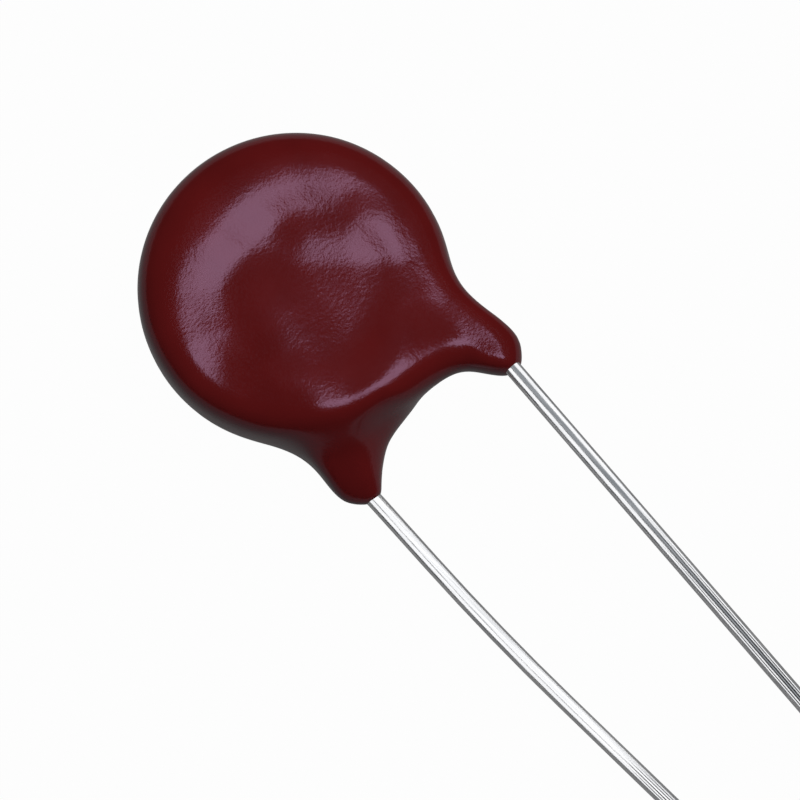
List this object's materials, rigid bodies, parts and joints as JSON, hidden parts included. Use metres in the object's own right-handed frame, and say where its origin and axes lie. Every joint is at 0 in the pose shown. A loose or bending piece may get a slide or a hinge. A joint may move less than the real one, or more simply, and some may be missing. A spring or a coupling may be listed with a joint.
{
  "type": "varistor",
  "caption": "Round disc varistor dipped in glossy maroon epoxy, with two tinned wire leads leaving one edge through short epoxy legs.",
  "frame": {"origin": "on the ground under the middle of the part's length, as it lies on its rear face", "axes": "+Z is the disc's own axis, out of its front face; -Y is the way the leads run; +X is to the side of the front lead"},
  "size_m": [0.015, 0.041, 0.0045],
  "materials": {
    "epoxy": "glossy dipped epoxy with a slight orange peel",
    "zinc_oxide": "matte sintered ceramic",
    "silver": "matte fired silver paste",
    "tinned_copper": "bright tin with fine drawing marks along the wire",
    "solder": "satin solder"
  },
  "bodies": {
    "root": {"coating": "epoxy", "ceramic_disc": "zinc_oxide", "front_electrode": "silver", "rear_electrode": "silver", "front_lead": "tinned_copper", "rear_lead": "tinned_copper", "front_solder": "solder", "rear_solder": "solder"}
  },
  "joints": []
}
